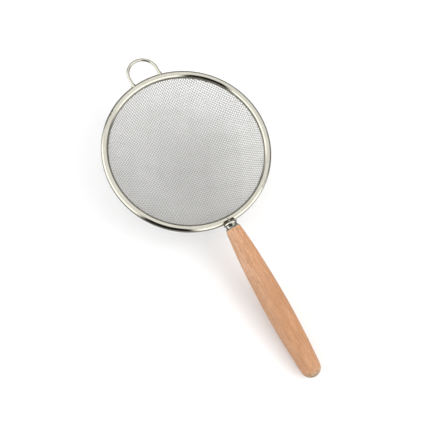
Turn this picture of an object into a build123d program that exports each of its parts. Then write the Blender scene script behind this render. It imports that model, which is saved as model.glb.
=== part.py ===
from build123d import *
import os
from math import asin, cos, degrees, radians, sin, tan

os.makedirs("parts", exist_ok=True)

# A round tea strainer. The rim lies level, with its flat underside in the plane Z = 0
# and its centre on the Z axis. The bowl hangs below it and the handle points along +X.

# Driving dimensions, in millimetres and degrees
overall_length = 210.0
loop_reach = 63.5
rim_diameter = 100.0
rim_width = 4.2
rim_height = 4.2
rim_top_round = 2.0
rim_bottom_round = 1.2
strip_thickness = 0.45
seam_gap = 0.3
core_wire_diameter = 2.0
core_wire_height = 2.15
bowl_depth = 25.0
bowl_edge_radius = 46.15
mesh_thickness = 0.5
loop_wire_diameter = 1.75
loop_bend_radius = 9.0
loop_height = 3.2
loop_turn = 2.0
tang_diameter = 3.0
tang_end = 88.0
handle_height = 3.4
handle_start = 54.1
handle_start_radius = 4.5
grip_waypoints = ((65.1, 5.65), (80.1, 6.6), (103.0, 7.2), (125.0, 6.7))
tip_length = 5.0
tip_radius = 5.6
spigot_radius = 3.0
spigot_length = 2.8
fit_gap = 0.05

# Values that follow from them
rim_radius = rim_diameter / 2
rim_middle = rim_radius - rim_width / 2
handle_end = overall_length - loop_reach
tang_radius = tang_diameter / 2
bore_radius = tang_radius + fit_gap

# The handle, ferrule and tang are turned about one level axis. Their profiles are drawn
# in a plane whose first coordinate is X and whose second is the distance from that axis.
handle_axis = Axis((0, 0, handle_height), (1, 0, 0))
handle_plane = Plane(origin=(0, 0, handle_height), x_dir=(1, 0, 0), z_dir=(0, -1, 0))

# The hanging loop is drawn in a level plane whose first coordinate runs outward, away
# from the handle. The loop was welded on a little askew, by loop_turn.
loop_plane = Plane(
    origin=(0, 0, loop_height),
    x_dir=(-cos(radians(loop_turn)), -sin(radians(loop_turn)), 0),
    z_dir=(0, 0, 1),
)


def rim_outline(grow):
    """The closed outside of the rim's section: flat below and rounded over the crown."""
    with BuildSketch() as outline:
        with Locations((rim_middle, rim_height / 2)):
            Rectangle(rim_width, rim_height)
        fillet(outline.vertices().group_by(Axis.Y)[-1], radius=rim_top_round)
        fillet(outline.vertices().group_by(Axis.Y)[0], radius=rim_bottom_round)
        if grow:
            offset(amount=grow, mode=Mode.REPLACE)
    return outline.sketch


# Solid ring a hair larger than the rim. Whatever is welded to the rim is cut with it,
# so that it sits against the rounded strip.
with BuildPart() as rim_cutter:
    with BuildSketch(Plane.XZ):
        add(rim_outline(grow=fit_gap / 2))
    revolve(axis=Axis.Z)


# Rim band: a strip of sheet rolled into a closed channel round the hem of the mesh. A
# slot along its inner bottom corner lets the mesh out. The two ends of the strip meet
# in a butt seam at the handle.
slot_reach = 1.3
slot_rise = 1.0

with BuildPart() as rim_band:
    with BuildSketch(Plane.XZ):
        add(rim_outline(grow=0))
        add(rim_outline(grow=-strip_thickness), mode=Mode.SUBTRACT)
        with Locations((rim_radius - rim_width, 0)):
            Rectangle(2 * slot_reach, 2 * slot_rise, mode=Mode.SUBTRACT)
    revolve(axis=Axis.Z)
    with BuildSketch(Plane.XY):
        with Locations((rim_middle, 0)):
            Rectangle(2 * rim_width, seam_gap)
    extrude(amount=rim_height, mode=Mode.SUBTRACT)

rim_band.part.label = "rim_band"
export_step(rim_band.part, "parts/rim_band.step")


# Core wire: the hoop that the hem of the mesh is folded over, hidden in the rim.
with BuildPart() as core_wire:
    with BuildSketch(Plane.XZ):
        with Locations((rim_middle, core_wire_height)):
            Circle(core_wire_diameter / 2)
    revolve(axis=Axis.Z)

core_wire.part.label = "core_wire"
export_step(core_wire.part, "parts/core_wire.step")


# Mesh bowl: one disc of wire cloth pressed to a shallow dome. Its edge turns up through
# the slot of the rim and folds over the core wire. It is two wire diameters thick.
hem_radius = core_wire_diameter / 2 + fit_gap + mesh_thickness / 2
hem_tail = 0.8
dome_radius = (bowl_edge_radius**2 + bowl_depth**2) / (2 * bowl_depth)
dome_angle = degrees(asin(bowl_edge_radius / dome_radius))
turn_width = rim_middle - hem_radius - bowl_edge_radius
turn_height = turn_width * tan(radians((dome_angle + 90) / 2))

with BuildPart() as mesh_bowl:
    with BuildSketch(Plane.XZ):
        with BuildLine():
            dome = JernArc((0, -bowl_depth), (1, 0), dome_radius, dome_angle)
            turn = TangentArc(dome @ 1, (rim_middle - hem_radius, turn_height), tangent=dome % 1)
            rise = Line(turn @ 1, (rim_middle - hem_radius, core_wire_height))
            fold = JernArc(rise @ 1, (0, 1), hem_radius, -180)
            Line(fold @ 1, (rim_middle + hem_radius, core_wire_height - hem_tail))
        trace(line_width=mesh_thickness)
        with Locations((-mesh_thickness, -bowl_depth)):
            Rectangle(2 * mesh_thickness, 2 * mesh_thickness, mode=Mode.SUBTRACT)
    revolve(axis=Axis.Z)

mesh_bowl.part.label = "mesh_bowl"
export_step(mesh_bowl.part, "parts/mesh_bowl.step")


# Hanging loop: one bent wire, a half circle between two straight legs. Its ends are
# welded down into the outer shoulder of the rim.
loop_bend_centre = loop_reach - loop_wire_diameter / 2 - loop_bend_radius
foot_depth = 2.0
loop_foot = rim_radius - foot_depth

with BuildPart() as hanging_loop:
    with BuildLine(loop_plane) as loop_path:
        first_leg = Line((loop_foot, -loop_bend_radius), (loop_bend_centre, -loop_bend_radius))
        bend = JernArc(first_leg @ 1, (1, 0), loop_bend_radius, 180)
        Line(bend @ 1, (loop_foot, loop_bend_radius))
    with BuildSketch(Plane(origin=first_leg @ 0, z_dir=first_leg % 0)):
        Circle(loop_wire_diameter / 2)
    sweep(path=loop_path.line)
    add(rim_cutter.part, mode=Mode.SUBTRACT)

hanging_loop.part.label = "hanging_loop"
export_step(hanging_loop.part, "parts/hanging_loop.step")


# Loop welds: a small rounded fillet of weld metal at each foot of the loop.
weld_radius = 1.35
weld_drop = 0.5
weld_inset = 0.6
weld_reach = rim_radius - weld_inset

with BuildPart() as loop_welds:
    with Locations(loop_plane):
        with Locations(
            (weld_reach, -loop_bend_radius, -weld_drop),
            (weld_reach, loop_bend_radius, -weld_drop),
        ):
            Sphere(weld_radius)
    add(rim_cutter.part, mode=Mode.SUBTRACT)
    add(hanging_loop.part, mode=Mode.SUBTRACT)

loop_welds.part.label = "loop_welds"
export_step(loop_welds.part, "parts/loop_welds.step")


# Tang: a round steel pin, butted and welded to the rim, that runs back through the
# ferrule into the handle. Rolled grooves near its chamfered tip key it into the glue.
tang_inset = 1.2
tang_start = rim_radius - tang_inset
groove_depth = 0.3
groove_spacing = 4.0
groove_count = 5

with BuildPart() as tang:
    with BuildSketch(Plane.YZ.offset(tang_start)):
        with Locations((0, handle_height)):
            Circle(tang_radius)
    extrude(amount=tang_end - tang_start)
    chamfer(tang.faces().sort_by(Axis.X)[-1].edges(), length=tang_radius / 2)
    with BuildSketch(handle_plane):
        for number in range(groove_count):
            groove_x = tang_end - (number + 1) * groove_spacing
            with Locations((groove_x, tang_radius)):
                Rectangle(2 * groove_depth, 2 * groove_depth, rotation=45)
    revolve(axis=handle_axis, mode=Mode.SUBTRACT)
    add(rim_cutter.part, mode=Mode.SUBTRACT)

tang.part.label = "tang"
export_step(tang.part, "parts/tang.step")


# Ferrule: a collar pressed from thin sheet. A rounded bead stands against the rim, a
# waist follows, and a flared lip meets the shoulder of the wood.
ferrule_front = rim_radius + fit_gap
ferrule_back = handle_start - fit_gap
bead_flat_radius = 3.3
bead_radius = 4.1
bead_length = 1.6
bead_top = ferrule_front + bead_length / 2
bead_back = ferrule_front + bead_length
waist_radius = 3.5
lip_radius = 4.55
collar_thickness = 0.45
sleeve_radius = spigot_radius + fit_gap
funnel_end = bead_back + 0.5
flare_slope = 1.2

with BuildPart() as ferrule:
    with BuildSketch(handle_plane):
        with BuildLine():
            front = Line((ferrule_front, bore_radius), (ferrule_front, bead_flat_radius))
            bead = ThreePointArc(front @ 1, (bead_top, bead_radius), (bead_back, waist_radius))
            flare = Spline(bead @ 1, (ferrule_back, lip_radius), tangents=((1, 0), (1, flare_slope)))
            lip = Line(flare @ 1, (ferrule_back, lip_radius - collar_thickness))
            funnel = Spline(
                lip @ 1, (funnel_end, sleeve_radius), tangents=((-1, -flare_slope), (-1, 0))
            )
            sleeve = Line(funnel @ 1, (ferrule_front + collar_thickness, sleeve_radius))
            back = Line(sleeve @ 1, (ferrule_front + collar_thickness, bore_radius))
            Line(back @ 1, front @ 0)
        make_face()
    revolve(axis=handle_axis)

ferrule.part.label = "ferrule"
export_step(ferrule.part, "parts/ferrule.step")


# Tang weld: the run of weld metal in the notch between the shoulder of the rim and the
# front of the ferrule, over the seam of the strip.
run_radius = 1.5
run_half_length = 3.4
run_round = 0.9
run_inset = 0.5
run_centre = rim_radius - run_inset

with BuildPart() as tang_weld:
    with BuildSketch(Plane.XZ):
        with Locations((run_centre, handle_height)):
            Circle(run_radius)
        with Locations((rim_radius + run_radius, handle_height)):
            Rectangle(2 * run_radius, 2 * run_radius, mode=Mode.SUBTRACT)
    extrude(amount=run_half_length, both=True)
    ends = tang_weld.faces().filter_by(Axis.Y)
    fillet(ends.edges().filter_by(GeomType.CIRCLE), radius=run_round)
    add(rim_cutter.part, mode=Mode.SUBTRACT)
    add(tang.part, mode=Mode.SUBTRACT)

tang_weld.part.label = "tang_weld"
export_step(tang_weld.part, "parts/tang_weld.step")


# Handle: turned beech. A spigot fits the ferrule and is bored for the tang. The grip
# swells to its belly, narrows again and ends in a blunt rounded tip.
tip_start = handle_end - tip_length
tip_turn = 0.68 * tip_length
tip_turn_radius = 0.72 * tip_radius

with BuildPart() as handle:
    with BuildSketch(handle_plane):
        with BuildLine():
            grip = Spline(
                (handle_start, handle_start_radius), *grip_waypoints, (tip_start, tip_radius)
            )
            tip = Spline(
                grip @ 1,
                (tip_start + tip_turn, tip_turn_radius),
                (handle_end, 0),
                tangents=(grip % 1, (0, -1)),
            )
            shoulder_x = handle_start - spigot_length
            Polyline(
                tip @ 1,
                (tang_end + fit_gap, 0),
                (tang_end + fit_gap, bore_radius),
                (shoulder_x, bore_radius),
                (shoulder_x, spigot_radius),
                (handle_start, spigot_radius),
                grip @ 0,
            )
        make_face()
    revolve(axis=handle_axis)

handle.part.label = "handle"
export_step(handle.part, "parts/handle.step")
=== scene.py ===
from math import atan2, cos, pi, radians, sin

import bpy
import numpy as np
from mathutils import Matrix, Vector


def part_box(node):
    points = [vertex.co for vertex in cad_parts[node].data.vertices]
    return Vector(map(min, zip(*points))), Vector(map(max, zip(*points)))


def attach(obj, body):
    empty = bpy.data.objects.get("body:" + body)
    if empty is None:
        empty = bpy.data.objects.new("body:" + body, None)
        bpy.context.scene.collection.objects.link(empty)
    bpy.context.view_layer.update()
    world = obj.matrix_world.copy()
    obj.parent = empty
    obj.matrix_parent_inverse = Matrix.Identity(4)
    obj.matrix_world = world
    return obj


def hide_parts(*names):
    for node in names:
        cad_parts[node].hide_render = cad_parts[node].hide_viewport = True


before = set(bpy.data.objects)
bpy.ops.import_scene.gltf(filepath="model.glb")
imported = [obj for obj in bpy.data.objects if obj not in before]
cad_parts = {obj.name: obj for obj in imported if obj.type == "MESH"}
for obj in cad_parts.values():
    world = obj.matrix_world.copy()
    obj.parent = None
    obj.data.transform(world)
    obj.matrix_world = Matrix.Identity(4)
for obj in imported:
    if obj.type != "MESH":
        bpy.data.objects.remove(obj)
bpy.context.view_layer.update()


# Camera. It looks steeply down from beside the rim, near enough that the end of the
# handle looks a little larger than the hanging loop.
view_turn = radians(-59.0)
view_height = radians(74.1)
view_roll = radians(31.0)
view_distance = 0.2964
look_at = Vector((0.04195, -0.0046, 0.0))
lens = 43.01

back = Vector((cos(view_height) * cos(view_turn), cos(view_height) * sin(view_turn), sin(view_height)))
level = (-back).cross(Vector((0, 0, 1))).normalized()
upward = level.cross(-back)
right = cos(view_roll) * level + sin(view_roll) * upward
top = cos(view_roll) * upward - sin(view_roll) * level
camera_data = bpy.data.cameras.new("camera")
camera_data.lens = lens
camera_data.sensor_width = 36
camera_data.clip_start = 0.01
camera = bpy.data.objects.new("camera", camera_data)
camera.matrix_world = Matrix.Translation(look_at + back * view_distance) @ Matrix(
    (right, top, back)
).transposed().to_4x4()
bpy.context.scene.collection.objects.link(camera)
bpy.context.scene.camera = camera


# Rim: one strip of thin stainless sheet, rolled into a closed channel and polished, with
# a hairline butt seam at the handle. Polishing leaves faint lines that run round it.
class Value:
    """An output of a material's node. Sums on it add Math nodes."""

    def __init__(self, finish, socket):
        self.finish = finish
        self.socket = socket

    def __add__(self, other):
        return self.finish.math_of("ADD", self, other)

    def __sub__(self, other):
        return self.finish.math_of("SUBTRACT", self, other)

    def __mul__(self, other):
        return self.finish.math_of("MULTIPLY", self, other)

    def __truediv__(self, other):
        return self.finish.math_of("DIVIDE", self, other)

    def __pow__(self, other):
        return self.finish.math_of("POWER", self, other)

    def __rsub__(self, other):
        return self.finish.math_of("SUBTRACT", other, self)

    __radd__ = __add__
    __rmul__ = __mul__


class Finish:
    """A material, or the light of a room, put together node by node."""

    def __init__(self, name, kind=bpy.data.materials):
        self.made = kind.new(name)
        self.made.use_nodes = True
        self.tree = self.made.node_tree
        self.tree.nodes.clear()

    def node(self, kind, settings=None, inputs=None, output=0):
        """Adds a node: its settings first, then the values or links of its inputs."""
        made = self.tree.nodes.new("ShaderNode" + kind)
        for name, setting in (settings or {}).items():
            if name == "stops":
                ramp = made.color_ramp.elements
                while len(ramp) < len(setting):
                    ramp.new(1)
                for stop, (place, colour) in zip(ramp, setting):
                    stop.position = place
                    stop.color = (*colour, 1)
            else:
                setattr(made, name, setting)
        for name, given in (inputs or {}).items():
            if isinstance(given, Value):
                self.tree.links.new(given.socket, made.inputs[name])
            else:
                made.inputs[name].default_value = given
        return Value(self, made.outputs[output]) if made.outputs else None

    def place(self):
        """Where a point lies in the part's own frame."""
        return self.node("TexCoord", output="Object")

    def axes(self, vector):
        """The three coordinates of a vector."""
        split = self.node("SeparateXYZ", inputs={"Vector": vector})
        outputs = split.socket.node.outputs
        return [Value(self, outputs[n]) for n in range(3)]

    def noise(self, vector, scale, detail=2.0, roughness=0.5):
        """Soft blotches, with so many of them to one unit of the vector."""
        return self.node(
            "TexNoise",
            inputs={"Vector": vector, "Scale": scale, "Detail": detail, "Roughness": roughness},
        )

    def math_of(self, operation, *sides):
        """One Math node on one or two numbers or values."""
        return self.node("Math", {"operation": operation}, dict(enumerate(sides)))

    def range(self, value, low, high, new_low, new_high):
        """Stretches low..high to new_low..new_high and clamps it there."""
        ends = {"From Min": low, "From Max": high, "To Min": new_low, "To Max": new_high}
        return self.node("MapRange", inputs={"Value": value, **ends})

    def tint(self, factor, dark, light):
        """A colour between two others, each a colour of this finish or a plain red, green, blue."""
        dark, light = (side if isinstance(side, Value) else (*side, 1) for side in (dark, light))
        # The Mix node numbers its sockets for colours so: factor 0, A 6 and B 7, and result 2.
        return self.node("Mix", {"data_type": "RGBA"}, {0: factor, 6: dark, 7: light}, output=2)

    def bump(self, height, strength, distance):
        """Tilts the surface as if it rose and fell with the height, up to the distance."""
        return self.node("Bump", inputs={"Height": height, "Strength": strength, "Distance": distance})

    def surface(self, **inputs):
        """Closes the material with one Principled shader."""
        named = {name.replace("_", " "): given for name, given in inputs.items()}
        self.node("OutputMaterial", inputs={"Surface": self.node("BsdfPrincipled", inputs=named)})
        return self.made


def wear(node, material):
    """Gives a CAD node its finish."""
    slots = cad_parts[node].data.materials
    slots.clear()
    slots.append(material)


def polished_steel(name, dark, light, roughness):
    """Bright steel with fine polishing lines round the bowl's axis and faint smears."""
    lines_per_metre = 9000
    lines_per_turn = 3
    smears_per_metre = 90.0
    steel = Finish(name)
    x, y, z = steel.axes(steel.place())
    radius = (x * x + y * y) ** 0.5
    turn = steel.math_of("ARCTAN2", y, x)
    round_way = steel.node(
        "CombineXYZ",
        inputs={0: radius * lines_per_metre, 1: z * lines_per_metre, 2: turn * lines_per_turn},
    )
    lines = steel.noise(round_way, 1.0, 3.0, 0.6)
    smears = steel.noise(steel.place(), smears_per_metre, 3.0, 0.6)
    return steel.surface(
        Base_Color=steel.tint(steel.range(smears, 0.35, 0.65, 0, 1), dark, light),
        Metallic=1.0,
        Roughness=steel.range(lines, 0.3, 0.7, roughness * 0.7, roughness * 1.4)
        + steel.range(smears, 0.45, 0.75, 0, 0.06),
        Normal=steel.bump(lines, 0.12, 0.00002),
    )


rim_steel = polished_steel("rim_steel", (0.57, 0.55, 0.47), (0.63, 0.61, 0.53), 0.10)
wear("rim_band", rim_steel)
wear("core_wire", rim_steel)


# Mesh bowl: plain-woven stainless wire cloth, pressed to a dome from a flat disc. The
# wires keep their spacing along the dome, so its square cells shear into diamonds
# towards the rim. The ends of the wires run up into the slot of the rim.
pitch = 0.00141
wire_radius = 0.00016
weave_turn = radians(37)
edge_rise = 0.0010
unevenness = 0.00009
steps_per_cell = 6
wire_sides = 6
wires_per_piece = 30
spare_wires = 1.25
sheen_patches = 45.0
bowl_edge = 0.04615
cloth_thickness = 0.0005

bowl_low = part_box("mesh_bowl")[0]
bowl_depth = -(bowl_low.z + cloth_thickness / 2)
dome_radius = (bowl_edge**2 + bowl_depth**2) / (2 * bowl_depth)
dome_centre = np.array((0, 0, dome_radius - bowl_depth))
section_length = dome_radius * atan2(bowl_edge, dome_radius - bowl_depth)
crossings = int(spare_wires * section_length / pitch) + 2


def cloth_crossings():
    """Where the wires cross, as unit vectors from the dome's centre, for one quarter.

    Each new crossing is the mirror image of the one across its cell, in the plane
    through the dome's centre and the cell's other two corners, so every cell keeps
    sides of one pitch.
    """
    arc = 2 * np.arcsin(pitch / (2 * dome_radius)) * np.arange(crossings)
    net = np.zeros((crossings, crossings, 3))
    net[:, 0] = np.stack([np.sin(arc), 0 * arc, -np.cos(arc)], 1)
    net[0, :] = np.stack([0 * arc, np.sin(arc), -np.cos(arc)], 1)
    for i in range(1, crossings):
        for j in range(1, crossings):
            across = np.cross(net[i, j - 1], net[i - 1, j])
            across /= np.linalg.norm(across)
            corner = net[i - 1, j - 1]
            net[i, j] = corner - 2 * np.dot(corner, across) * across
    return net


quarter = cloth_crossings()
numbers = np.arange(1 - crossings, crossings)
along, over = np.meshgrid(np.abs(numbers), np.abs(numbers), indexing="ij")
quadrant = np.meshgrid(np.sign(numbers), np.sign(numbers), indexing="ij")
cloth = quarter[along, over] * np.stack([*quadrant, 1 + 0 * along], 2)

# Pressing pulls the wires a little out of line, in slow waves along and across them.
warp_number = numbers[:, None]
weft_number = numbers[None, :]
warp_drift = np.sin(0.31 * weft_number + 0.9) + np.sin(0.83 * warp_number + 0.4 * weft_number)
weft_drift = np.sin(0.27 * warp_number + 2.1) + np.sin(0.71 * weft_number - 0.3 * warp_number)
cloth += (unevenness / dome_radius) * np.stack([warp_drift, weft_drift, 0 * along], 2)
warp_lifts = np.where((warp_number + weft_number) % 2 == 0, 1.0, -1.0)


def woven_wire(nodes, lifts):
    """Rings of points round one wire, which passes over and under at its crossings.

    The nodes are its crossings, and the lifts say over, 1, or under, -1, at each. A wire
    that barely dips below the rim is left out.
    """
    step = np.arange(steps_per_cell) / steps_per_cell
    path = nodes[:-1, None] * (1 - step)[None, :, None] + nodes[1:, None] * step[None, :, None]
    path = path.reshape(-1, 3)
    path /= np.linalg.norm(path, axis=1)[:, None]
    wave = (lifts[:-1, None] * np.cos(pi * step)[None, :]).reshape(-1)
    below = np.flatnonzero(dome_centre[2] + dome_radius * path[:, 2] < edge_rise)
    if len(below) < 2 * steps_per_cell:
        return None
    run = slice(below[0], below[-1] + 1)
    path, wave = path[run], wave[run]
    line = dome_centre + path * (dome_radius + wave * wire_radius)[:, None]
    forward = np.gradient(line, axis=0)
    forward /= np.linalg.norm(forward, axis=1)[:, None]
    sideways = np.cross(forward, path)
    sideways /= np.linalg.norm(sideways, axis=1)[:, None]
    outward = np.cross(sideways, forward)
    around = 2 * pi * (np.arange(wire_sides) + 0.5) / wire_sides
    spoke = np.cos(around)[None, :, None] * sideways[:, None]
    spoke = spoke + np.sin(around)[None, :, None] * outward[:, None]
    return line[:, None] + wire_radius * spoke


def tube_mesh(name, wires):
    """One mesh of many closed tubes, each given as rings of points."""
    points, faces, ends, start = [], [], [], 0
    for rings in wires:
        count, sides = rings.shape[:2]
        side = np.arange(sides)
        first = start + np.arange(count - 1)[:, None] * sides + side[None, :]
        after = start + np.arange(count - 1)[:, None] * sides + (side[None, :] + 1) % sides
        faces.append(np.stack([first, after, after + sides, first + sides], 2).reshape(-1, 4))
        ends.append(start + side[::-1])
        ends.append(start + (count - 1) * sides + side)
        points.append(rings.reshape(-1, 3))
        start += count * sides
    points = np.concatenate(points)
    quads = np.concatenate(faces)
    corners = np.concatenate([quads.ravel(), np.concatenate(ends)]).astype(np.int32)
    starts = np.concatenate([4 * np.arange(len(quads)), quads.size + sides * np.arange(len(ends))])
    mesh = bpy.data.meshes.new(name)
    mesh.vertices.add(len(points))
    mesh.vertices.foreach_set("co", points.astype(np.float32).ravel())
    mesh.loops.add(len(corners))
    mesh.loops.foreach_set("vertex_index", corners)
    mesh.polygons.add(len(starts))
    mesh.polygons.foreach_set("loop_start", starts.astype(np.int32))
    mesh.polygons.foreach_set("use_smooth", np.ones(len(starts), dtype=bool))
    mesh.update(calc_edges=True)
    mesh.validate()
    return mesh


cloth_steel = Finish("cloth_steel")
patches = cloth_steel.noise(cloth_steel.place(), sheen_patches, 3.0, 0.55)
sheen = cloth_steel.range(patches, 0.35, 0.65, 0, 1)
mesh_steel = cloth_steel.surface(
    Base_Color=cloth_steel.tint(sheen, (0.54, 0.53, 0.50), (0.62, 0.61, 0.58)),
    Metallic=1.0,
    Roughness=cloth_steel.range(patches, 0.3, 0.7, 0.30, 0.42),
)

turn_cloth = np.array(Matrix.Rotation(weave_turn, 3, "Z"))
for family in ("warp", "weft"):
    net = cloth if family == "warp" else cloth.transpose(1, 0, 2)
    lifts = warp_lifts if family == "warp" else -warp_lifts
    wires = [woven_wire(net[n], lifts[n]) for n in range(len(numbers))]
    wires = [rings @ turn_cloth.T for rings in wires if rings is not None]
    for number, start in enumerate(range(0, len(wires), wires_per_piece)):
        name = f"{family}_wires_{number + 1}"
        piece = bpy.data.objects.new(name, tube_mesh(name, wires[start : start + wires_per_piece]))
        bpy.context.scene.collection.objects.link(piece)
        piece.data.materials.append(mesh_steel)
        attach(piece, "root")
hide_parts("mesh_bowl")


# Hanging loop and its welds: bright drawn wire, bent to a half circle and welded down
# onto the rim's shoulder. The weld metal is dressed to the same shine.
loop_steel = polished_steel("loop_steel", (0.55, 0.54, 0.45), (0.62, 0.61, 0.52), 0.14)
wear("hanging_loop", loop_steel)
wear("loop_welds", loop_steel)


# Tang and its weld: a drawn pin, welded across the seam of the rim. The run of weld was
# left rippled as it cooled; its dark brown is painted shadow of the gap between the rim and the
# ferrule.
weld_ripples = 1400.0

tang_steel = polished_steel("tang_steel", (0.42, 0.41, 0.37), (0.52, 0.51, 0.47), 0.25)
wear("tang", tang_steel)

weld = Finish("weld_painted_gap_shadow")
ripple = weld.noise(weld.place(), weld_ripples, 3.0, 0.6)
ridges = weld.range(ripple, 0.4, 0.7, 0, 1)
# The weld's dark brown base colour is painted shadow of the gap between the rim and the ferrule.
wear(
    "tang_weld",
    weld.surface(
        Base_Color=weld.tint(ridges, (0.035, 0.028, 0.018), (0.20, 0.17, 0.12)),
        Metallic=0.85,
        Roughness=weld.range(ripple, 0.3, 0.7, 0.35, 0.55),
        Normal=weld.bump(ripple, 0.5, 0.0001),
    ),
)


# Ferrule: a collar pressed from thin stainless sheet, with a bead, a waist and a flared
# lip. One side of its waist has a painted dark reflection, near black in blotches.
waist_from_bead = 0.0021
dark_reflection_reach = 0.0011
dark_reflection_side = -0.0012
blotches_per_metre = 420.0
turning_marks = 9000

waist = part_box("ferrule")[0].x + waist_from_bead
collar = Finish("ferrule_steel")
x, y, _ = collar.axes(collar.place())
blotches = collar.noise(collar.place(), blotches_per_metre, 2.0, 0.5)
from_waist = collar.math_of("ABSOLUTE", x - waist)
from_dark_reflection_side = collar.math_of("ABSOLUTE", y - dark_reflection_side)
# Painted dark reflection: the waist goes near black on one side, in blotches.
painted_dark_reflection = (
    collar.range(from_waist, dark_reflection_reach * 0.6, dark_reflection_reach, 1, 0)
    * collar.range(from_dark_reflection_side, dark_reflection_reach * 0.7, dark_reflection_reach * 1.5, 1, 0.25)
    * collar.range(blotches, 0.32, 0.48, 0.6, 1)
)
turning = collar.noise(collar.node("CombineXYZ", inputs={0: x * turning_marks}), 1.0, 2.0, 0.5)
clean = collar.tint(collar.range(blotches, 0.35, 0.65, 0, 1), (0.62, 0.61, 0.54), (0.74, 0.73, 0.67))
wear(
    "ferrule",
    collar.surface(
        Base_Color=collar.tint(painted_dark_reflection * 0.98, clean, (0.02, 0.017, 0.010)),
        Metallic=1.0,
        Roughness=collar.range(turning, 0.3, 0.7, 0.06, 0.12) + painted_dark_reflection * 0.12,
        Normal=collar.bump(turning, 0.1, 0.00002),
    ),
)


# Handle: turned beech, sanded fine and oiled. Its grain runs along it in pink and tan
# streaks with the short brown flecks of beech, and one side has painted light, paler and pinker.
# The wood is darker past the neck, and the end grain of the tip is darker still.
end_grain = 0.0045
darkening_run = 0.045
end_speckles = 700.0

handle_low, handle_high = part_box("handle")
handle_radius = handle_high.y
beech = Finish("beech")
x, y, z = beech.axes(beech.place())


def grain_noise(lengthways, crossways, detail):
    """Noise drawn out along the handle, with so many blotches to a metre each way."""
    stretched = beech.node("CombineXYZ", inputs={0: x * lengthways, 1: y * crossways, 2: z * crossways})
    return beech.noise(stretched, 1.0, detail, 0.6)


pink_grain_and_lit_side = beech.range(grain_noise(22, 150, 2.0), 0.30, 0.70, 0, 0.6)
# Painted light: the -Y side of the handle is painted paler and pinker.
pink_grain_and_lit_side = pink_grain_and_lit_side + beech.range(y, -handle_radius, handle_radius * 0.8, 0.4, 0)
# The wood turns darker over the first stretch past the neck and stays so to the tip.
darker_past_neck = beech.range(x, handle_low.x, handle_low.x + darkening_run, 0, 1)
streaks = beech.range(grain_noise(85, 1400, 3.0), 0.37, 0.63, 0, 1)
flecks = beech.range(grain_noise(420, 2600, 1.0), 0.54, 0.66, 0, 1)
pale = beech.tint(streaks, (0.57, 0.33, 0.20), (0.82, 0.52, 0.35))
warm = beech.tint(streaks, (0.47, 0.225, 0.103), (0.68, 0.355, 0.180))
tone = beech.tint(pink_grain_and_lit_side, warm, pale)
tone = beech.tint(darker_past_neck * 0.5, tone, (0.42, 0.195, 0.083))
fleck_colour = beech.tint(flecks * 0.5, tone, (0.36, 0.165, 0.080))
speckle = beech.noise(beech.place(), end_speckles, 2.0, 0.6)
tip = beech.range(x, handle_high.x - end_grain, handle_high.x - end_grain * 0.3, 0, 1)
tip = tip * beech.range(speckle, 0.3, 0.55, 0.6, 1)
pores = beech.range(speckle, 0.38, 0.62, 0, 1)
end_colour = beech.tint(pores, (0.17, 0.12, 0.07), (0.52, 0.38, 0.24))
wear(
    "handle",
    beech.surface(
        Base_Color=beech.tint(tip, fleck_colour, end_colour),
        Roughness=beech.range(streaks, 0, 1, 0.50, 0.40) + flecks * 0.06,
        Normal=beech.bump(streaks - flecks * 0.6, 0.3, 0.00006),
    ),
)


# Floor: a wide pale sheet. The strainer rests on it as it does on a table, on the bottom
# of the bowl and the end of the handle, so in the part's frame the sheet is tilted.
floor_half = 4.0
steepest = radians(30)
halvings = 40
paper_fibres = 60.0

handle_points = np.array([v.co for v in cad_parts["handle"].data.vertices])
cloth_skin = dome_radius + 2 * wire_radius


def floor_gap(tilt):
    """How far the handle clears a sheet at this tilt that touches the bowl."""
    up = np.array((-sin(tilt), 0, cos(tilt)))
    return (handle_points @ up).min() - (dome_centre @ up - cloth_skin)


low_tilt, high_tilt = 0.0, steepest
for _ in range(halvings):
    middle = (low_tilt + high_tilt) / 2
    low_tilt, high_tilt = (middle, high_tilt) if floor_gap(middle) > 0 else (low_tilt, middle)
floor_up = Vector((-sin(low_tilt), 0, cos(low_tilt)))
floor_point = Vector(dome_centre) - floor_up * cloth_skin
floor_mesh = bpy.data.meshes.new("floor")
floor_mesh.from_pydata(
    [(floor_half * x, floor_half * y, 0) for x, y in ((-1, -1), (1, -1), (1, 1), (-1, 1))],
    [],
    [(0, 1, 2, 3)],
)
floor = bpy.data.objects.new("floor", floor_mesh)
floor.matrix_world = Matrix.Translation(floor_point) @ Matrix.Rotation(-low_tilt, 4, "Y")
bpy.context.scene.collection.objects.link(floor)
paper = Finish("paper")
fibre = paper.noise(paper.place(), paper_fibres)
floor_mesh.materials.append(
    paper.surface(
        Base_Color=paper.tint(fibre, (0.90, 0.90, 0.90), (0.92, 0.92, 0.92)),
        Roughness=0.9,
        Emission_Color=(1, 1, 1, 1),
        Emission_Strength=0.05,
    )
)
floor.visible_glossy = False


# Backdrop: a white paper wall a few metres off, all the way round the table. Only the
# camera sees it, so the light of the room still reaches the strainer through it.
backdrop_reach = 3.6
backdrop_height = 4.0
backdrop_sides = 48

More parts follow.
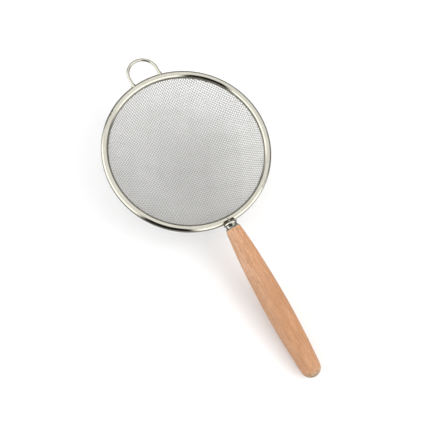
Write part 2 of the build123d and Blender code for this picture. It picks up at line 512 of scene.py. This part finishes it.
corner_turns = [2 * pi * n / backdrop_sides for n in range(backdrop_sides)]
corners = [(backdrop_reach * cos(turn), backdrop_reach * sin(turn)) for turn in corner_turns]
next_corner = [*range(1, backdrop_sides), 0]
backdrop_mesh = bpy.data.meshes.new("backdrop")
backdrop_mesh.from_pydata(
    [(x, y, z) for z in (-backdrop_height, backdrop_height) for x, y in corners],
    [],
    [(n, after, after + backdrop_sides, n + backdrop_sides) for n, after in enumerate(next_corner)],
)
backdrop = bpy.data.objects.new("backdrop", backdrop_mesh)
bpy.context.scene.collection.objects.link(backdrop)
white_paper = Finish("white_paper")
fibre = white_paper.noise(white_paper.place(), paper_fibres)
backdrop_mesh.materials.append(
    white_paper.surface(
        Base_Color=(0, 0, 0, 1),
        Specular_IOR_Level=0.0,
        Emission_Color=white_paper.tint(fibre, (0.97, 0.97, 0.97), (1.0, 1.0, 1.0)),
        Emission_Strength=1.0,
    )
)
backdrop.visible_diffuse = False
backdrop.visible_glossy = False
backdrop.visible_shadow = False


# Studio room: a soft box overhead, white walls on the camera's side with a tall dark
# opening between them, and a dark room beyond the far edge of the table. Turns are in
# degrees from the camera's side, and tilts in degrees from straight overhead.
opening_turn = 16
opening_inside = 22
opening_outside = 32
wall_turn = 15
wall_reach = 104
wall_fade = 9

room = Finish("room", bpy.data.worlds)
x, y, z = room.axes(room.node("TexCoord", output="Generated"))
tilt = room.math_of("ARCCOSINE", z) * (180 / pi)
toward = x * cos(view_turn) + y * sin(view_turn)
across = y * cos(view_turn) - x * sin(view_turn)
swing = room.math_of("ARCTAN2", across, toward) * (180 / pi)
from_opening = room.math_of("ABSOLUTE", swing - opening_turn)
from_walls = room.math_of("ABSOLUTE", swing - wall_turn)
near_side = room.range(from_walls, wall_reach - wall_fade, wall_reach + wall_fade, 1, 0)


def room_ring(*stops):
    """Grey rings of light, each stop given by its tilt from overhead and its brightness."""
    greys = [(place / 180, (grey, grey, grey)) for place, grey in stops]
    return room.node("ValToRGB", {"stops": greys}, {"Fac": tilt / 180})


white_walls = room_ring(
    (0, 1.2), (26, 1.2), (32, 0.75), (37, 0.75), (43, 1.9), (98, 1.9), (112, 0.4), (180, 0.3)
)
dark_room = room_ring(
    (0, 1.2), (28, 1.2), (33, 1.0), (37, 1.0), (42, 1.3), (52, 1.25), (63, 0.28), (180, 0.26)
)
opening = (
    room.range(from_opening, opening_inside, opening_outside, 1, 0)
    * room.range(tilt, 13, 23, 0, 1)
    * room.range(tilt, 112, 122, 1, 0)
)
walls = room.tint(near_side, dark_room, white_walls)
light = room.node("Background", inputs={"Color": room.tint(opening, walls, (0.02, 0.02, 0.02))})
room.node("OutputWorld", inputs={"Surface": light})
bpy.context.scene.world = room.made


# Fill light: a soft panel on a stand beyond the handle, turned to the bowl. It evens out
# the light on the wood and the floor, and the polished steel doesn't show it.
fill_from = Vector((0.40, 0.75, 0.90))
fill_power = 5.2
fill_size = 0.9

fill = bpy.data.lights.new("fill_light", "AREA")
fill.energy = fill_power
fill.size = fill_size
fill_light = bpy.data.objects.new("fill_light", fill)
aim = fill_from.to_track_quat("Z", "Y").to_matrix().to_4x4()
fill_light.matrix_world = Matrix.Translation(fill_from) @ aim
fill_light.visible_glossy = False
bpy.context.scene.collection.objects.link(fill_light)

bpy.context.scene.view_settings.view_transform = "Standard"
